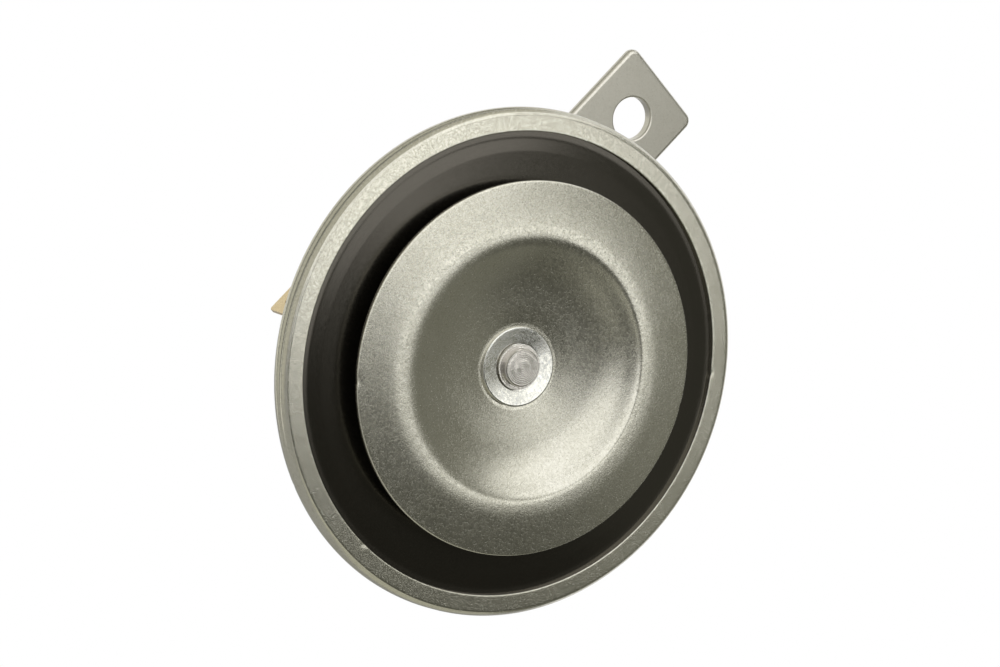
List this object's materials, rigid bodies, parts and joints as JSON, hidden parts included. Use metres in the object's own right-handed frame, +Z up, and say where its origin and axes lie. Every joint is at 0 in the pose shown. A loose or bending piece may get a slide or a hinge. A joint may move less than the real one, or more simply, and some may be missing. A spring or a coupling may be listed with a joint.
{
  "type": "car horn",
  "caption": "Electric disc horn with a dished tone disc, a rolled rim, two blade terminals and a flat mounting strap.",
  "frame": {"origin": "centre of the strap's mounting hole, on the strap's rear face, which seats on the car body", "axes": "+Z up along the strap, +Y backward along the mounting bolt's axis, -Y the way the horn faces, +X to the right seen from the front"},
  "size_m": [0.0966, 0.0508, 0.1187],
  "materials": {
    "plated_ring_steel": "zinc plated, satin, finely speckled",
    "plated_disc_steel": "zinc plated, satin, finely speckled",
    "plated_housing_steel": "zinc plated, satin",
    "black_diaphragm": "satin black paint on spring steel",
    "gasket_fibre": "rubbered fibre gasket",
    "strap_steel": "zinc plated, smooth",
    "fastener_steel": "bright zinc plated",
    "bright_washer": "bright zinc plated",
    "turned_steel": "turned steel",
    "bobbin_plastic": "moulded nylon",
    "enamelled_copper": "enamelled copper wire",
    "contact_metal": "tungsten",
    "spring_bronze": "rolled spring bronze",
    "insulating_board": "phenolic board",
    "terminal_brass": "stamped brass",
    "rivet_steel": "plated steel"
  },
  "bodies": {
    "horn_body": {"clamp_ring": "plated_ring_steel", "diaphragm": "black_diaphragm", "diaphragm_gasket": "gasket_fibre", "housing": "plated_housing_steel", "pole_core": "turned_steel", "coil_bobbin": "bobbin_plastic", "coil_winding": "enamelled_copper", "coil_keeper": "turned_steel", "contact_support": "turned_steel", "support_rivets": "rivet_steel", "contact_spring": "spring_bronze", "moving_contact": "contact_metal", "fixed_contact_arm": "spring_bronze", "fixed_contact": "contact_metal", "contact_insulators": "insulating_board", "contact_rivets": "rivet_steel", "adjusting_nut": "fastener_steel", "terminal_plates": "insulating_board", "terminal_bushes": "insulating_board", "terminal_rivets": "rivet_steel", "terminal_left": "terminal_brass", "terminal_right": "terminal_brass", "lead_coil_to_terminal": "enamelled_copper", "lead_coil_to_contact": "enamelled_copper", "lead_contact_to_terminal": "enamelled_copper", "bracket": "strap_steel", "bracket_spring_washer": "fastener_steel", "bracket_nut": "fastener_steel"},
    "striker": {"tone_disc": "plated_disc_steel", "tone_disc_washer": "bright_washer", "armature": "turned_steel", "armature_washer": "turned_steel"},
    "adjuster": {"adjusting_screw": "fastener_steel"}
  },
  "joints": [
    {"name": "striker_stroke", "type": "slide", "parent": "horn_body", "child": "striker", "axis": [0, -1, 0], "range_m": [-0.0005, 0.0005], "stiffness_N_per_m": 5000, "deforming": ["diaphragm", "contact_spring"]},
    {"name": "adjusting_screw_turn", "type": "hinge", "parent": "horn_body", "child": "adjuster", "pos_m": [0, -0.0125, -0.0879], "axis": [0, -1, 0], "range_deg": [-90, 90]}
  ]
}
